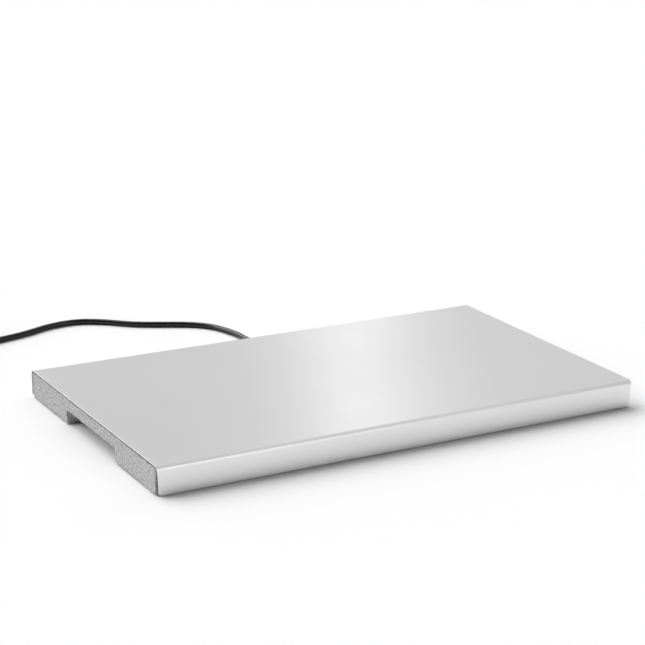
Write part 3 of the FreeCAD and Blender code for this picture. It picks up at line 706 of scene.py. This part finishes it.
def make_strain_relief():
    """Flanged gland on the rear lip with a ribbed sleeve that tapers onto the cord."""
    length = BOOT_END - PLATE_HIGH.y
    outline = [(radius * MM, along * MM) for radius, along in GLAND_FLANGE]
    start = outline[-1][1]
    step = (length - start - 2 * MM) / SLEEVE_RIBS
    for rib in range(SLEEVE_RIBS):
        for share, drop in RIB_SHAPE:
            along = start + (rib + share) * step
            taper = SLEEVE_ROOT + (SLEEVE_TIP - SLEEVE_ROOT) * (along - start) / (length - start)
            outline.append((taper - drop * (0.9 - 0.05 * rib), along))
    outline += [(SLEEVE_TIP, length - 1.6 * MM), (SLEEVE_TIP, length - 0.4 * MM),
                (SLEEVE_TIP - 0.3 * MM, length), (BORE * MM, length)]
    place = Matrix.Translation((EXIT[0], PLATE_HIGH.y, EXIT[2])) @ Matrix.Rotation(
        -math.pi / 2, 4, "X")
    mesh = lathe("cord_gland", outline, 48, place)
    return finish_piece("cord_gland", mesh, SHEATH, "cord_sheath", "strain_relief", sharp=50.0)


def make_tie():
    """Flat rubber band round the coil's turns, with rounded corners and edges."""
    low, high = corners("cord_tie")
    bm = bmesh.new()
    outer = 1.6 * MM
    inner = outer - 0.8 * MM
    soft = outer - 0.3 * MM
    shy = 0.4 * MM
    section = ((outer, low.y + shy), (outer, high.y - shy), (soft, high.y), (inner, high.y),
               (inner, low.y), (soft, low.y))
    path = []
    for corner_x, corner_z, start in ((high.x, high.z, 0), (low.x, high.z, 90),
                                      (low.x, low.z, 180), (high.x, low.z, 270)):
        sign_x = 1 if corner_x == high.x else -1
        sign_z = 1 if corner_z == high.z else -1
        centre = (corner_x - sign_x * outer, corner_z - sign_z * outer)
        for step in range(7):
            angle = math.radians(start + 15 * step)
            path.append((centre, math.cos(angle), math.sin(angle)))
    rings = []
    for centre, across, up in path:
        rings.append([bm.verts.new((centre[0] + across * radius, y, centre[1] + up * radius))
                      for radius, y in section])
    for first, second in zip(rings, rings[1:] + rings[:1]):
        for spot in range(len(section)):
            following = (spot + 1) % len(section)
            bm.faces.new((first[spot], first[following], second[following], second[spot]))
    bmesh.ops.recalc_face_normals(bm, faces=bm.faces[:])
    return finish_piece("coil_band", to_mesh(bm, "coil_band"), TIE, "tie_rubber", "cord_tie")


def make_plug():
    """Moulded two-pin plug: ribbed sleeve, waisted grip with finger grooves, round face."""
    outline = list(PLUG_SLEEVE)
    for rib in range(PLUG_RIBS):
        base = PLUG_RIB_START + rib * PLUG_RIB_STEP
        outline += [(5.0, base), (4.3, base + 0.4), (4.4, base + 1.2), (5.2 + 0.2 * rib, base + 1.6)]
    outline += PLUG_BODY

    def grooves(angle, along):
        """Finger grooves that fade out towards both ends of the grip."""
        share = min(max((along - GRIP_START) / (6 * MM), 0.0), 1.0)
        share *= min(max((GRIP_END - along) / (5 * MM), 0.0), 1.0)
        return 1.0 - GROOVE_DEPTH * share * max(0.0, math.sin(PLUG_GROOVES * angle)) ** 2

    entry = Vector(TAIL_ROUTE[-1]) * MM
    place = (Matrix.Translation(entry) @ Matrix.Rotation(math.radians(PLUG_TURN), 4, "Z")
             @ Matrix.Rotation(math.radians(PLUG_TILT), 4, "Y"))
    mesh = lathe("plug_shell", [(r * MM, z * MM) for r, z in outline], 96, place, grooves)
    return finish_piece("plug_shell", mesh, PLUG_PLASTIC, "plug_black", "plug_body", sharp=42.0)


make_cover()
make_core("front_board", "front_core", 3.0)
make_core("rear_board", "rear_core", 11.0)
gland = make_strain_relief()
band = make_tie()
plug = make_plug()

# --------------------------------------------------------------------------- studio


FLOOR_HALF = 6.0
FLOOR_WHITE = (0.95, 0.95, 0.95, 1.0)
MIRRORED_X = 0.483      # X component of the directions that the steel mirrors to the camera


def make_floor():
    """Plain white studio floor at height 0."""
    half = FLOOR_HALF
    mesh = bpy.data.meshes.new("studio_floor")
    mesh.from_pydata([(-half, -half, 0), (half, -half, 0), (half, half, 0), (-half, half, 0)],
                     [], [(0, 1, 2, 3)])
    floor = add_object("studio_floor", mesh)
    shader = Shader("studio_white", Specular_IOR_Level=0.0, Base_Color=FLOOR_WHITE,
                    Roughness=1.0)
    mesh.materials.append(shader.material)


def make_world():
    """White studio lit from above and behind.

    The brushed steel mirrors one cone of directions about the X axis. There the sky is a plain
    grey card with one narrow bright strip behind, and it is paler along the front horizon.
    """
    world = bpy.data.worlds.new("studio")
    bpy.context.scene.world = world
    world.use_nodes = True
    sky = Graph(world.node_tree)
    right, back, height = sky.parts(sky.node("TexCoord").outputs["Generated"])

    # the sky away from that cone: bright behind and above, dim in front
    rear = sky.grey(back, 0.0, 1.0, 0.1, 0.28, smooth=True)
    behind = sky.grey(height, 1.2, 3.9, 0.2, 0.55, smooth=True)
    in_front = sky.grey(height, 0.35, 0.05, 0.05, 0.25, smooth=True)
    dome = sky.blend(rear, in_front, behind)

    # the card inside the cone, with its pale front horizon and the bright strip behind
    aside = sky.maths("ABSOLUTE", sky.maths("SUBTRACT", right, MIRRORED_X), 0.0)
    horizon = sky.grey(back, 0.7, 0.0, -0.86, -0.74, smooth=True)
    horizon = sky.maths("MULTIPLY", horizon, sky.grey(right, 1.5, -0.6, 0.39, 0.62))
    card = sky.maths("ADD", 0.755, horizon)
    strip = sky.grey(aside, 0.84, 0.0, 0.004, 0.03, smooth=True)
    strip = sky.maths("MULTIPLY", strip, sky.grey(back, 0.0, 1.0, 0.2, 0.45, smooth=True))
    card = sky.maths("ADD", card, strip)

    # the card is wider behind than in front
    on_card = sky.blend(sky.grey(back, 0.0, 1.0, -0.3, 0.1, smooth=True),
                        sky.grey(aside, 1.0, 0.0, 0.13, 0.2, smooth=True),
                        sky.grey(aside, 1.0, 0.0, 0.22, 0.5, smooth=True))
    light = sky.blend(on_card, dome, card)
    background = sky.nodes["Background"]
    background.inputs["Color"].default_value = (1.0, 1.0, 1.0, 1.0)
    sky.links.new(light, background.inputs["Strength"])


make_floor()
make_world()
bpy.context.scene.view_settings.view_transform = "Standard"

bpy.context.view_layer.update()
